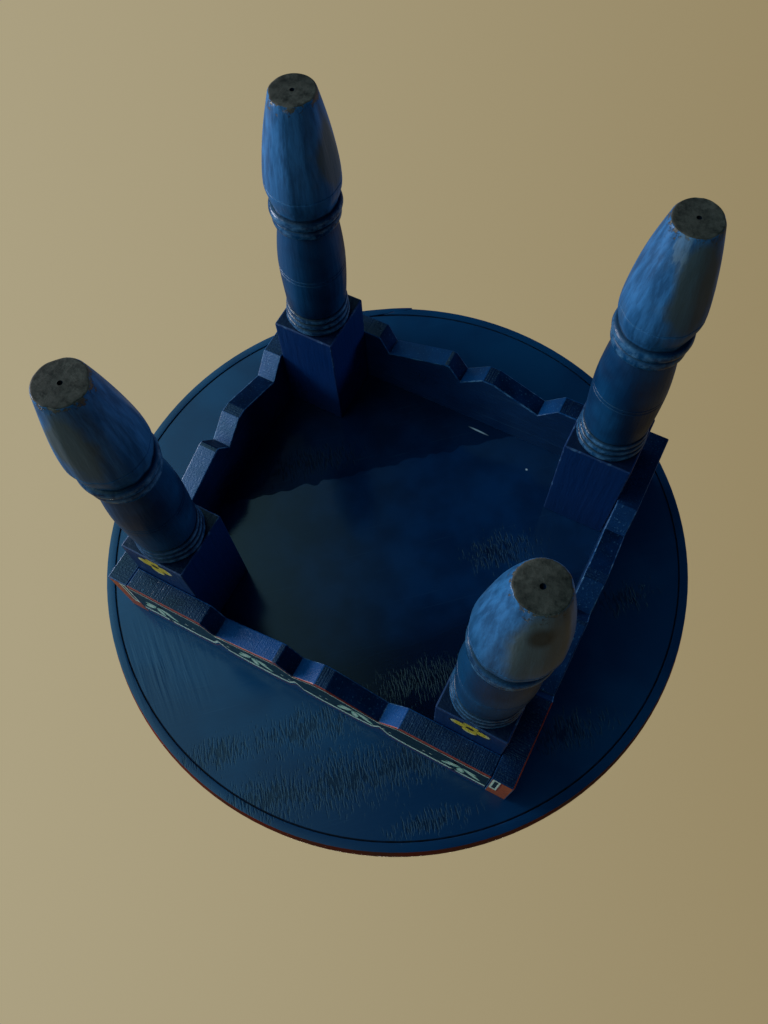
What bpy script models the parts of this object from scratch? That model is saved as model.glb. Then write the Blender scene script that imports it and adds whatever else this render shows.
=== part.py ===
"""Small round tea table of painted wood: a hooped round top on four saw-cut aprons and four turned legs.

The table stands on its feet, +Z up, with the origin on the floor under the middle of the top.
The aprons are four equal boards: the side boards run through, the front and back boards butt between them.
Each leg's square block stands in a corner of that frame and is nailed through the boards.
Units are metres.
"""

import math

import bmesh
import bpy
from mathutils import Matrix, Vector

OBJECT_NAME = "painted_tea_table"

# Clearance between pieces that touch
GAP = 0.0003

# Making the meshes: doubles closer than this are one point, edges sharper than this stay sharp
WELD_DISTANCE = 0.00001
SHARP_ANGLE = math.radians(35)

# Top: a round panel held in a bent hoop
TOP_DIAMETER = 0.500
RIM_THICKNESS = 0.009
RIM_HEIGHT = 0.020
RIM_BELOW_PANEL = 0.0005
PANEL_THICKNESS = 0.018
PANEL_EDGE_CHAMFER = 0.0012
TOP_FACETS = 96

# Scarf lap that closes the hoop: where its outer end stops, how long it is, how far its tip stands proud
LAP_ANGLE = math.radians(66.6)
LAP_LENGTH = 0.028
LAP_TIP = 0.0012
LAP_POINTS = 4

# Aprons: four equal boards, the frame set a little behind the middle of the top
APRON_LENGTH = 0.307
APRON_HEIGHT = 0.066
APRON_THICKNESS = 0.017
FRAME_SETBACK = 0.005

# Saw-cut lower edge, as places along the board from its middle
PAD_END_A = -0.0860
SAW_NOTCH_A = -0.0775
PEAK_A_START = -0.0235
PEAK_A_END = -0.0195
MIDDLE_NOTCH = -0.0080
PEAK_B_START = 0.0120
PEAK_B_END = 0.0220
SAW_NOTCH_B = 0.0650
PAD_END_B = 0.0810
SAW_NOTCH_DEPTH = 0.0175
MIDDLE_NOTCH_DEPTH = 0.0160

# Legs: a square block above, turned below; heights are from the foot
LEG_LENGTH = 0.322
BLOCK_SIZE = 0.053
BLOCK_LENGTH = 0.111
FOOT_RADIUS = 0.0150
FOOT_CHAMFER = 0.0010
LATHE_HOLE_RADIUS = 0.0014
LATHE_HOLE_DEPTH = 0.006
BELLY_RADIUS = 0.0263
BELLY_HEIGHT = 0.068
NECK_RADIUS = 0.0228
NECK_HEIGHT = 0.0848
COLLAR_GROOVE_RADIUS = 0.0230
UPPER_BEAD_RADIUS = 0.0248
UPPER_BEAD_WIDTH = 0.0085
LOWER_BEAD_RADIUS = 0.0260
LOWER_BEAD_WIDTH = 0.0090
BEAD_POINTS = 4
VASE_NECK_RADIUS = 0.0210
VASE_RADIUS = 0.0254
VASE_END_RADIUS = 0.0236
VASE_SWELL_PLACE = 0.50
BASE_RING_RADII = (0.0246, 0.0252, 0.0258)
BASE_RING_WIDTH = 0.0062
RING_GROOVE_DEPTH = 0.0016
TURNING_FACETS = 20
TURNING_INSIDE_BLOCK = 0.014

# How each swelling of the turning falls away: the power of its curve and the number of steps in it
VASE_END_CURVE = (2.0, 3)
VASE_NECK_CURVE = (1.7, 4)
BELLY_NECK_CURVE = (1.6, 3)
PEG_CURVE = (1.45, 5)

# How far each foot has drifted from under its block: (along X, along Y)
FOOT_DRIFT = {
    "front_left": (-0.0065, 0.0022),
    "front_right": (-0.0055, -0.0080),
    "rear_left": (0.0017, 0.0115),
    "rear_right": (-0.0060, 0.0015),
}

# Nails and brads
NAIL_HEAD_RADIUS = 0.0025
NAIL_HEAD_HEIGHT = 0.0012
NAIL_SHANK_RADIUS = 0.0012
NAIL_POINT_LENGTH = 0.003
NAIL_FACETS = 8
NAIL_CLEARANCE = 0.0003
NAIL_GRIP = 0.019
NAIL_TO_EDGE = 0.016
TOP_NAIL_GRIP = 0.026
BRAD_GRIP = 0.013
BRAD_COUNT = 8
BRAD_FIRST_ANGLE = math.radians(20)

# Colours and finishes: linear RGB, roughness, metallic
PANEL_PAINT = ((0.010, 0.032, 0.075), 0.45, 0.0)
RIM_PAINT = ((0.110, 0.012, 0.010), 0.45, 0.0)
APRON_PAINT = ((0.012, 0.035, 0.085), 0.45, 0.0)
LEG_PAINT = ((0.018, 0.065, 0.150), 0.40, 0.0)
NAIL_STEEL = ((0.090, 0.085, 0.080), 0.60, 1.0)

# Places that follow from those sizes
TOP_RADIUS = TOP_DIAMETER / 2
HOOP_INNER_RADIUS = TOP_RADIUS - RIM_THICKNESS
PANEL_RADIUS = HOOP_INNER_RADIUS * math.cos(math.pi / TOP_FACETS) - GAP
PANEL_BOTTOM = LEG_LENGTH + GAP
PANEL_TOP = PANEL_BOTTOM + PANEL_THICKNESS
RIM_BOTTOM = PANEL_BOTTOM - RIM_BELOW_PANEL
APRON_BOTTOM = LEG_LENGTH - APRON_HEIGHT
SHOULDER_HEIGHT = LEG_LENGTH - BLOCK_LENGTH
HALF_FRAME = APRON_LENGTH / 2
SIDE_APRON_X = HALF_FRAME + GAP + APRON_THICKNESS / 2
END_APRON_Y = HALF_FRAME - APRON_THICKNESS / 2
LEG_X = HALF_FRAME - BLOCK_SIZE / 2
LEG_Y = HALF_FRAME - APRON_THICKNESS - GAP - BLOCK_SIZE / 2


def empty_scene():
    for item in list(bpy.data.objects):
        bpy.data.objects.remove(item)


def new_collection(name):
    group = bpy.data.collections.new(name)
    bpy.context.scene.collection.children.link(group)
    return group


def new_material(name, finish):
    colour, roughness, metallic = finish
    material = bpy.data.materials.new(name)
    material.use_nodes = True
    shader = material.node_tree.nodes["Principled BSDF"]
    shader.inputs["Base Color"].default_value = (*colour, 1.0)
    shader.inputs["Roughness"].default_value = roughness
    shader.inputs["Metallic"].default_value = metallic
    material.diffuse_color = (*colour, 1.0)
    return material


def evaluated_mesh(item, name):
    """The object's mesh with its modifiers in it, its doubles welded; the object itself is removed."""
    bpy.context.view_layer.update()
    mesh = bpy.data.meshes.new_from_object(item.evaluated_get(bpy.context.evaluated_depsgraph_get()))
    mesh.name = name
    shape = bmesh.new()
    shape.from_mesh(mesh)
    bmesh.ops.remove_doubles(shape, verts=shape.verts, dist=WELD_DISTANCE)
    shape.to_mesh(mesh)
    shape.free()
    bpy.data.objects.remove(item)
    return mesh


def turned_mesh(name, profile, facets):
    """A solid of revolution round Z from (radius, height) points that run from its top to its bottom."""
    mesh = bpy.data.meshes.new(name + "_profile")
    points = [(radius, 0, height) for radius, height in profile]
    mesh.from_pydata(points, [(i, i + 1) for i in range(len(points) - 1)], [])
    item = bpy.data.objects.new(name + "_profile", mesh)
    bpy.context.scene.collection.objects.link(item)
    screw = item.modifiers.new("turning", "SCREW")
    screw.axis = "Z"
    screw.steps = facets
    screw.render_steps = facets
    screw.use_merge_vertices = True
    screw.merge_threshold = WELD_DISTANCE
    return evaluated_mesh(item, name)


def board_mesh(name, outline, thickness):
    """A flat board: a closed outline in its own XY plane, as thick as given, centred on that plane."""
    curve = bpy.data.curves.new(name + "_outline", "CURVE")
    curve.dimensions = "2D"
    curve.fill_mode = "BOTH"
    curve.extrude = thickness / 2
    line = curve.splines.new("POLY")
    line.points.add(len(outline) - 1)
    for point, (x, y) in zip(line.points, outline):
        point.co = (x, y, 0, 1)
    line.use_cyclic_u = True
    item = bpy.data.objects.new(name + "_outline", curve)
    bpy.context.scene.collection.objects.link(item)
    return evaluated_mesh(item, name)


def new_piece(name, mesh, material, group, place=None):
    item = bpy.data.objects.new(name, mesh)
    item.data.materials.clear()
    item.data.materials.append(material)
    if place is not None:
        item.matrix_world = place
    group.objects.link(item)
    return item


def smooth_round(item):
    item.data.shade_smooth()
    item.data.set_sharp_from_angle(angle=SHARP_ANGLE)


def boolean(item, other, operation):
    change = item.modifiers.new(other.name, "BOOLEAN")
    change.operation = operation
    change.solver = "EXACT"
    change.object = other


# Top

def rim_outline():
    """The bent strip from above: one full turn, its thinned outer end lapped over its thinned start."""
    lap = LAP_LENGTH / TOP_RADIUS
    start = LAP_ANGLE - lap
    outside = []
    inside = []
    for step in range(LAP_POINTS + 1):
        share = step / LAP_POINTS
        outside.append((HOOP_INNER_RADIUS + RIM_THICKNESS * share, start + lap * share))
    turn = 2 * math.pi - lap
    for step in range(1, TOP_FACETS):
        share = step / TOP_FACETS
        outside.append((TOP_RADIUS, LAP_ANGLE + turn * share))
        inside.append((HOOP_INNER_RADIUS, start + 2 * math.pi * share))
    for step in range(LAP_POINTS + 1):
        share = step / LAP_POINTS
        outside.append((TOP_RADIUS + (GAP + LAP_TIP) * share, start + 2 * math.pi + lap * share))
        inside.append((HOOP_INNER_RADIUS + GAP + RIM_THICKNESS * share, start + 2 * math.pi + lap * share))
    loop = outside + inside[::-1]
    return [(radius * math.cos(angle), radius * math.sin(angle)) for radius, angle in loop]


def panel_profile():
    edge = PANEL_RADIUS - PANEL_EDGE_CHAMFER
    return [
        (0, PANEL_TOP),
        (edge, PANEL_TOP),
        (PANEL_RADIUS, PANEL_TOP - PANEL_EDGE_CHAMFER),
        (PANEL_RADIUS, PANEL_BOTTOM + PANEL_EDGE_CHAMFER),
        (edge, PANEL_BOTTOM),
        (0, PANEL_BOTTOM),
    ]


def build_top(parts):
    panel = new_piece(
        "top_panel",
        turned_mesh("top_panel", panel_profile(), TOP_FACETS),
        new_material("panel_paint", PANEL_PAINT),
        parts,
    )
    hoop = new_piece(
        "rim_hoop",
        board_mesh("rim_hoop", rim_outline(), RIM_HEIGHT),
        new_material("rim_paint", RIM_PAINT),
        parts,
        Matrix.Translation((0, 0, RIM_BOTTOM + RIM_HEIGHT / 2)),
    )
    smooth_round(panel)
    smooth_round(hoop)
    return [panel, hoop]


# Aprons

def apron_outline():
    """The board's face: straight upper edge, saw-cut lower one; middle at x = 0, lower edge at y = 0."""
    half = APRON_LENGTH / 2
    return [
        (-half, 0),
        (PAD_END_A, 0),
        (SAW_NOTCH_A, SAW_NOTCH_DEPTH),
        (PEAK_A_START, 0),
        (PEAK_A_END, 0),
        (MIDDLE_NOTCH, MIDDLE_NOTCH_DEPTH),
        (PEAK_B_START, 0),
        (PEAK_B_END, 0),
        (SAW_NOTCH_B, SAW_NOTCH_DEPTH),
        (PAD_END_B, 0),
        (half, 0),
        (half, APRON_HEIGHT),
        (-half, APRON_HEIGHT),
    ]


def apron_places():
    """Where each board stands: its middle, the way its face looks, and the way its outline runs."""
    frame = Vector((0, FRAME_SETBACK, APRON_BOTTOM))
    return {
        "apron_front": (frame + Vector((0, -END_APRON_Y, 0)), Vector((0, -1, 0)), Vector((-1, 0, 0))),
        "apron_back": (frame + Vector((0, END_APRON_Y, 0)), Vector((0, 1, 0)), Vector((-1, 0, 0))),
        "apron_left": (frame + Vector((-SIDE_APRON_X, 0, 0)), Vector((-1, 0, 0)), Vector((0, 1, 0))),
        "apron_right": (frame + Vector((SIDE_APRON_X, 0, 0)), Vector((1, 0, 0)), Vector((0, 1, 0))),
    }


def build_aprons(parts):
    up = Vector((0, 0, 1))
    boards = []
    for name, (middle, _, along) in apron_places().items():
        place = Matrix((along, up, along.cross(up))).transposed().to_4x4()
        place.translation = middle
        mesh = board_mesh(name, apron_outline(), APRON_THICKNESS)
        boards.append(new_piece(name, mesh, new_material(name + "_paint", APRON_PAINT), parts, place))
    return boards


# Legs

def bead(top, width, groove, crest):
    """A half-round bead that starts and ends at the groove's radius, from its top down."""
    loop = []
    for step in range(BEAD_POINTS + 1):
        turn = math.pi * step / BEAD_POINTS
        radius = groove + (crest - groove) * math.sin(turn)
        loop.append((radius, top - width * (1 - math.cos(turn)) / 2))
    return loop


def swelling(start, end, curve):
    """Points after the start between two (radius, height) ends, leaving the start along the axis."""
    power, steps = curve
    loop = []
    for step in range(1, steps + 1):
        share = step / steps
        radius = start[0] + (end[0] - start[0]) * share ** power
        loop.append((radius, start[1] + (end[1] - start[1]) * share))
    return loop


def leg_profile():
    """The turned part from inside the block down to the lathe's centre hole in the foot."""
    hidden_top = SHOULDER_HEIGHT + TURNING_INSIDE_BLOCK
    profile = [(0, hidden_top), (VASE_END_RADIUS, hidden_top)]
    top = SHOULDER_HEIGHT
    for crest in reversed(BASE_RING_RADII):
        profile += bead(top, BASE_RING_WIDTH, crest - RING_GROOVE_DEPTH, crest)
        top -= BASE_RING_WIDTH + GAP
    lower_bead_top = NECK_HEIGHT + LOWER_BEAD_WIDTH
    collar_top = lower_bead_top + UPPER_BEAD_WIDTH + GAP
    swell = (VASE_RADIUS, collar_top + (top - collar_top) * VASE_SWELL_PLACE)
    profile += swelling(swell, (VASE_END_RADIUS, top), VASE_END_CURVE)[::-1]
    profile.append(swell)
    profile += swelling(swell, (VASE_NECK_RADIUS, collar_top), VASE_NECK_CURVE)
    profile += bead(collar_top - GAP, UPPER_BEAD_WIDTH, COLLAR_GROOVE_RADIUS, UPPER_BEAD_RADIUS)
    profile += bead(lower_bead_top - GAP, LOWER_BEAD_WIDTH - GAP, COLLAR_GROOVE_RADIUS, LOWER_BEAD_RADIUS)
    belly = (BELLY_RADIUS, BELLY_HEIGHT)
    profile += swelling(belly, (NECK_RADIUS, NECK_HEIGHT - GAP), BELLY_NECK_CURVE)[::-1]
    profile.append(belly)
    profile += swelling(belly, (FOOT_RADIUS, FOOT_CHAMFER), PEG_CURVE)
    profile += [
        (FOOT_RADIUS - FOOT_CHAMFER, 0),
        (LATHE_HOLE_RADIUS, 0),
        (0, LATHE_HOLE_DEPTH),
    ]
    return profile


def leg_places():
    return {
        "front_left": Vector((-LEG_X, FRAME_SETBACK - LEG_Y, 0)),
        "front_right": Vector((LEG_X, FRAME_SETBACK - LEG_Y, 0)),
        "rear_left": Vector((-LEG_X, FRAME_SETBACK + LEG_Y, 0)),
        "rear_right": Vector((LEG_X, FRAME_SETBACK + LEG_Y, 0)),
    }


def lean(drift):
    """A slant that leaves the shoulder where it is and carries the foot sideways, flat on the floor."""
    slant = Matrix.Identity(4)
    for axis in (0, 1):
        slant[axis][2] = -drift[axis] / SHOULDER_HEIGHT
        slant[axis][3] = drift[axis]
    return slant


def block_mesh(name):
    shape = bmesh.new()
    bmesh.ops.create_cube(shape, size=1)
    bmesh.ops.scale(shape, vec=(BLOCK_SIZE, BLOCK_SIZE, BLOCK_LENGTH), verts=shape.verts)
    bmesh.ops.translate(shape, vec=(0, 0, SHOULDER_HEIGHT + BLOCK_LENGTH / 2), verts=shape.verts)
    mesh = bpy.data.meshes.new(name)
    shape.to_mesh(mesh)
    shape.free()
    return mesh


def build_legs(parts, cutters):
    legs = []
    for corner, place in leg_places().items():
        name = "leg_" + corner
        turning = turned_mesh(name, leg_profile(), TURNING_FACETS)
        turning.transform(lean(FOOT_DRIFT[corner]))
        paint = new_material(name + "_paint", LEG_PAINT)
        leg = new_piece(name, turning, paint, parts, Matrix.Translation(place))
        block = bpy.data.objects.new(name + "_block", block_mesh(name + "_block"))
        block.matrix_world = Matrix.Translation(place)
        cutters.objects.link(block)
        hide_cutter(block)
        boolean(leg, block, "UNION")
        smooth_round(leg)
        legs.append(leg)
    return legs


# Nails

def nail_profile(length, ease=0.0, above=0.0):
    """A flat-headed nail pointing down, face at z = 0; ease and above widen and raise it for its hole."""
    head = NAIL_HEAD_RADIUS + ease
    shank = NAIL_SHANK_RADIUS + ease
    under = -NAIL_HEAD_HEIGHT - ease
    return [
        (0, above),
        (head, above),
        (head, under),
        (shank, under),
        (shank, -length + NAIL_POINT_LENGTH - ease),
        (0, -length - ease),
    ]


def nail_place(point, outward):
    place = outward.to_track_quat("Z", "Y").to_matrix().to_4x4()
    place.translation = point
    return place


def nail_list():
    """Every nail as (name, place of its face, length)."""
    nails = []
    for apron, (middle, outward, along) in apron_places().items():
        reach = LEG_X if along.x else LEG_Y
        face = middle + outward * (APRON_THICKNESS / 2)
        for side, end in (("a", -1), ("b", 1)):
            for level, height in (("low", NAIL_TO_EDGE), ("high", APRON_HEIGHT - NAIL_TO_EDGE)):
                point = face + along * (end * reach) + Vector((0, 0, height))
                name = f"{apron}_nail_{side}_{level}"
                nails.append((name, nail_place(point, outward), APRON_THICKNESS + NAIL_GRIP))
    for corner, place in leg_places().items():
        upright = nail_place(place + Vector((0, 0, PANEL_TOP)), Vector((0, 0, 1)))
        nails.append((f"top_nail_{corner}", upright, PANEL_THICKNESS + TOP_NAIL_GRIP))
    for index in range(BRAD_COUNT):
        angle = BRAD_FIRST_ANGLE + 2 * math.pi * index / BRAD_COUNT
        outward = Vector((math.cos(angle), math.sin(angle), 0))
        point = outward * (TOP_RADIUS - NAIL_CLEARANCE) + Vector((0, 0, RIM_BOTTOM + RIM_HEIGHT / 2))
        nails.append((f"rim_brad_{index + 1}", nail_place(point, outward), RIM_THICKNESS + BRAD_GRIP))
    return nails


def hide_cutter(item):
    item.hide_render = True
    item.display_type = "WIRE"


def build_nails(parts, cutters):
    steel = new_material("nail_steel", NAIL_STEEL)
    holes = bmesh.new()
    for name, place, length in nail_list():
        nail = new_piece(name, turned_mesh(name, nail_profile(length), NAIL_FACETS), steel, parts, place)
        smooth_round(nail)
        hole_profile = nail_profile(length, NAIL_CLEARANCE, NAIL_HEAD_HEIGHT)
        hole = turned_mesh(name + "_hole", hole_profile, NAIL_FACETS)
        hole.transform(place)
        holes.from_mesh(hole)
        bpy.data.meshes.remove(hole)
    mesh = bpy.data.meshes.new("nail_holes")
    holes.to_mesh(mesh)
    holes.free()
    cutter = bpy.data.objects.new("nail_holes", mesh)
    cutters.objects.link(cutter)
    hide_cutter(cutter)
    return cutter


def build_table():
    empty_scene()
    parts = new_collection(OBJECT_NAME)
    cutters = new_collection("cutters")
    wood = build_top(parts) + build_aprons(parts) + build_legs(parts, cutters)
    holes = build_nails(parts, cutters)
    for piece in wood:
        boolean(piece, holes, "DIFFERENCE")


build_table()
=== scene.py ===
"""Low round tea table of painted wood, with the marks of hand work.

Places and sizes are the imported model's. The wooden pieces are modelled again here with eased edges, cut
lines on the turnings, worn blue paint and painted aprons. The nails keep their own shapes. Units are
metres, +Z up.
"""

import math
from functools import partial

import bmesh
import bpy
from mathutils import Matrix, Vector, noise


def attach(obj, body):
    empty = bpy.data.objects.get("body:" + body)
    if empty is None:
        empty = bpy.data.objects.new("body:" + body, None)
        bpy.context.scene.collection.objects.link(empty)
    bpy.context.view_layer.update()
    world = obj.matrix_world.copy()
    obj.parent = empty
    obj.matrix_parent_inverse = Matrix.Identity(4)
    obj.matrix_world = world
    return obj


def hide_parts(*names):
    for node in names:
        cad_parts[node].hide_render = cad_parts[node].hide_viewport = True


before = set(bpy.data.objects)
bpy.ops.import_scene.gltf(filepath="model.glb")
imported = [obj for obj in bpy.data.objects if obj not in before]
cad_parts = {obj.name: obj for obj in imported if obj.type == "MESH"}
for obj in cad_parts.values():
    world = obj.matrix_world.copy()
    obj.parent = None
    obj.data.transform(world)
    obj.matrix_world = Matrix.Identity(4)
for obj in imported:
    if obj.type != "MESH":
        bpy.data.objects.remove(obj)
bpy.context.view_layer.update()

UP = Vector((0, 0, 1))
RIGHT = Vector((1, 0, 0))
BACK = Vector((0, 1, 0))

# How squarely a face has to look one way to count as facing it, how close points are at one place, which
# edges are sharp enough to ease, and which are shaded smooth
FACING = 0.95
NEAR = 0.0005
SHARP_FROM = math.radians(20)
SMOOTH_UNDER = math.radians(38)

# Top
TOP_RADIUS = 0.250
HOOP_THICKNESS = 0.009
HOOP_BOTTOM = 0.3218
HOOP_TOP = 0.3418
HOOP_STEPS = 128
HOOP_EDGE = 0.0011
HOOP_FLARE = 0.0023
LAP_ANGLE = math.radians(66.6)
LAP_LENGTH = 0.028
LAP_STEPS = 6
LAP_START = 0.0006
LAP_TIP = 0.0012
LAP_GAP = 0.0003
PANEL_RADIUS = 0.2410
PANEL_BOTTOM = 0.3223
PANEL_TOP = 0.3403
PANEL_EDGE = 0.0014
PANEL_SIDES = 160

# Aprons: places along the board where its lower edge turns, and how far the edge is cut up there
APRON_LENGTH = 0.307
APRON_HEIGHT = 0.066
APRON_THICKNESS = 0.017
APRON_BOTTOM = 0.256
APRON_GAP = 0.0003
FRAME_SETBACK = 0.005
HALF_FRAME = APRON_LENGTH / 2
SIDE_APRON_X = HALF_FRAME + APRON_GAP + APRON_THICKNESS / 2
END_APRON_Y = HALF_FRAME - APRON_THICKNESS / 2
SAW_CUTS = (
    (-0.0860, 0.0),
    (-0.0775, 0.0175),
    (-0.0235, 0.0),
    (-0.0195, 0.0),
    (-0.0080, 0.0160),
    (0.0120, 0.0),
    (0.0220, 0.0),
    (0.0650, 0.0175),
    (0.0810, 0.0),
)
BOARD_EDGE = 0.0009
BOARD_END_FROM = 0.15
LEFT_RED_REACH = -0.085

# Legs
LEG_TOP = 0.322
SHOULDER = 0.211
BLOCK_SIZE = 0.053
BLOCK_EDGE = 0.0013
LEG_X = 0.127
LEG_Y = 0.1097
TURNING_SIDES = 72
LATHE_HOLE = 0.0015
LATHE_HOLE_DEPTH = 0.006
TENON_RADIUS = 0.0243
TENON_LENGTH = 0.012

# Feet: how far each stands to the right and to the back of its block's middle, and its radius
FEET = {
    "front_left": (-0.0065, 0.0022, 0.0140),
    "front_right": (-0.0055, -0.0080, 0.0158),
    "rear_left": (0.0017, 0.0115, 0.0151),
    "rear_right": (-0.0060, 0.0015, 0.0152),
}

# Turned beads: foot, head, radius of the grooves beside it, radius of its crest, and points round it
BEADS = (
    (0.0848, 0.0936, 0.0229, 0.0260, 8),
    (0.0939, 0.1022, 0.0229, 0.0248, 8),
    (0.1917, 0.1977, 0.0230, 0.0248, 6),
    (0.1980, 0.2040, 0.0236, 0.0254, 6),
    (0.2043, 0.2108, 0.0243, 0.0261, 6),
)
GROOVES = (0.0844, 0.0937, 0.1026, 0.1916, 0.1978, 0.2041, 0.2109)

# Lines scribed on the turning: their heights, and their section as shares of half a width and of the depth
CUT_LINES = (0.0665, 0.1460, 0.1494)
CUT_LINE_WIDTH = 0.0011
CUT_LINE_DEPTH = 0.0006
CUT_LINE_SECTION = ((-1.0, 0), (-0.45, 0.1), (0, 1), (0.45, 0.1), (1.0, 0))

# Marks of a hand lathe and of use on the turning
WOBBLE = 0.0006
WOBBLES_ACROSS = 55
WOBBLES_ALONG = 18
FLATS = 0.00022
FLAT_COUNT = 11
FLATS_FULL_FROM = 0.03
FOOT_RIM = 0.003
FOOT_KNOCKS = 0.0012
KNOCKS_ACROSS = 140

# Slots of each piece's finishes; slot 0 is the paint of all that has no other
UPPER_FACE, PANEL_GROOVE, DULL_SHADED_CORNER = range(1, 4)
HOOP_OUTSIDE = 1
BOARD_ARRIS, PAINTED_FACE, BOARD_END, SAW_CUT, LOWER_EDGE, SHADED_CUT = range(1, 7)
LEG_SKIN, FOOT_END, BLOCK_FACE, BLOCK_ARRIS, LATHE_MARK = range(5)


# Colour

def srgb(code):
    """A colour written as sRGB hex, as the linear colour that the shaders take."""
    channels = [int(code[place:place + 2], 16) / 255 for place in (1, 3, 5)]
    linear = [c / 12.92 if c <= 0.04045 else ((c + 0.055) / 1.055) ** 2.4 for c in channels]
    return (*linear, 1.0)


def per(millimetres):
    """How many times a pattern of that size repeats in a metre."""
    return 1000 / millimetres


PANEL_BLUE = srgb("#062d55")
PANEL_SHADE = srgb("#042243")
# Dark navy for painted shade: the well's dull part and shadowed corner, and the darker saw cuts
SHADOW_BLUE = srgb("#041935")
# Lighter blues of the panel past the aprons; the well's darker blue is painted shade
OVERHANG_BLUE = srgb("#0b385c")
OVERHANG_SHADE = srgb("#092d4f")
BOARD_BLUE = srgb("#073766")
BOARD_SHADE = srgb("#042348")
BOARD_SIDE = srgb("#052c56")
SAWN_BLUE = srgb("#0d4176")
# Pale blue of rubbed paint, also laid on the beads' crests as a painted highlight
RUBBED_AND_HIGHLIGHT_BLUE = srgb("#5d86ab")
VASE_BLUE = srgb("#0c3f67")
VASE_SHADE = srgb("#072747")
BLOCK_BLUE = srgb("#032655")
PEG_BLUE = srgb("#376ea2")
PEG_SHADE = srgb("#224e78")
DUST_AND_REFLECTION_GREY = srgb("#575a5a")
CHIP_GREY = srgb("#74808a")
SCUFF_WHITE = srgb("#d4d8e4")
TEAL = srgb("#0a2733")
BRICK_RED = srgb("#8c2a1a")
HOOP_RED = srgb("#7e1a0a")
HOOP_SHADE = srgb("#5e180d")
OXIDE_RED = srgb("#6a2a22")
ORANGE = srgb("#b84e26")
CREAM = srgb("#e4e2d0")
LEAF_GREEN = srgb("#b4d0b8")
YELLOW = srgb("#d9b437")
UMBER = srgb("#2c1a10")
BARE_WOOD = srgb("#8b7766")
END_GRAIN = srgb("#64554d")
GRIME = srgb("#1f1916")
# Near black, used for painted shade in grooves, lathe holes and torn grain
RECESS_SHADE = srgb("#04070d")
FLOOR_PAPER = srgb("#d9cfb4")
PAPER_LIGHT = srgb("#aca182")
PAPER_SHADE = srgb("#968764")
ROOM_LIGHT = srgb("#a8eefa")
ROOM_SHADE = srgb("#040a28")
BLACK = (0, 0, 0, 1)


# Places of the painted and worn parts

GRAIN_TURN = math.radians(51)
PATCH_TURN = math.radians(138)
PANEL_STREAK = (0.070, 0.0020, 0.01)

# Torn grain: x, y, half length and half width of each patch, and how far past that its dashes thin out
TORN_FADE_LONG = 2.4
TORN_FADE_WIDE = 2
TORN_DASH = (0.0065, 0.0013, 0.01)
TORN_PATCHES = (
    (-0.014, -0.228, 0.044, 0.017),
    (-0.056, -0.191, 0.044, 0.022),
    (-0.092, -0.159, 0.036, 0.016),
    (0.041, -0.220, 0.024, 0.013),
    (-0.010, -0.173, 0.040, 0.015),
    (-0.086, 0.036, 0.025, 0.016),
    (-0.078, -0.092, 0.036, 0.014),
    (0.102, 0.036, 0.036, 0.014),
    (-0.190, -0.083, 0.030, 0.014),
    (-0.190, 0.040, 0.024, 0.012),
    (-0.128, -0.188, 0.026, 0.008),
)

# Marks under the panel: a scraped place, a dull part past a line with a ragged edge that also takes
# darker paint as painted shade, and a painted shadow over a corner past another line
SCRAPED_PLACE = (0.122, -0.184, PANEL_BOTTOM)
SCRAPED_SIZE = (0.060, 0.050, 1)
SCRAPED_TURN = math.radians(39)
SCRAPED_LINE = (0.050, 0.0030, 0.01)
DULL_SHADED_LINE = 0.074
DULL_STEPS = 90
DULL_RAGGED = 0.0040
DULL_RAGS = 120
SHADOW_WAY = (0.753, 0.658, 0)
SHADOW_LINE = -0.074
SHADOW_BLEND = 0.018
OVERHANG_BLEND = 0.01

# White scuffs: x, y, turn, half length and half width
SCUFFS = (
    (-0.0178, 0.1325, math.radians(2), 0.0122, 0.0011),
    (-0.0726, 0.1159, 0, 0.0014, 0.0014),
)

# Grey patches on the pegs, partly dust and partly a painted reflection of the pale floor: place, reach
# across and reach up; then a stain and a chipped foot
PEG_DUST_AND_REFLECTION = (
    (-0.1450, -0.1175, 0.030, 0.023, 0.052),
    (0.1150, -0.1320, 0.032, 0.017, 0.046),
    (-0.1410, 0.1090, 0.034, 0.018, 0.044),
    (0.1000, 0.1180, 0.040, 0.014, 0.038),
)
STAINED_PEG = (-0.1430, -0.1187, 0.0195)
STAIN_SIZE = (0.011, 0.011, 0.014)
CHIPPED_FOOT = (-0.1235, 0.1085, 0.004)
CHIPPED_SIZE = (0.012, 0.012, 0.034)

# Leaf sprays: x, y, turn, half width and half length of each leaf, and the places of the dots
SPRAY_STEP = 0.044
SPRAY_LEAVES = (
    (0.0, 0.0350, 0, 0.0036, 0.0125),
    (0.0090, 0.0320, math.radians(-38), 0.0040, 0.0120),
    (0.0066, 0.0245, math.radians(-68), 0.0028, 0.0075),
)
SPRAY_DOTS = ((0.0245, 0.0325), (0.0300, 0.0350))
DOT_RADIUS = 0.0015

# Ruled lines of the apron's face: a zigzag over the saw cuts, and braces that dip to a cusp over each notch
RULED_HEIGHT = 0.020
ZIGZAG_SHARE = 0.77
CARTOUCHE_TOP = 0.047
CUSP_DROP = 0.018
BRACE = ((-0.075, 1), (-0.022, 0.80), (0, 0), (0.022, 0.80), (0.075, 1))

# Flower: its height on the blocks, the share by which places on the top are brought down to its size, and
# x, y, half width and half height of a side petal and an upright one
FLOWER_HEIGHT = 0.2225
FLOWER_ON_TOP = 0.4
PETALS = ((0.0082, 0.0, 0.0076, 0.0066), (0.0, 0.0084, 0.0066, 0.0078))

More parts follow.
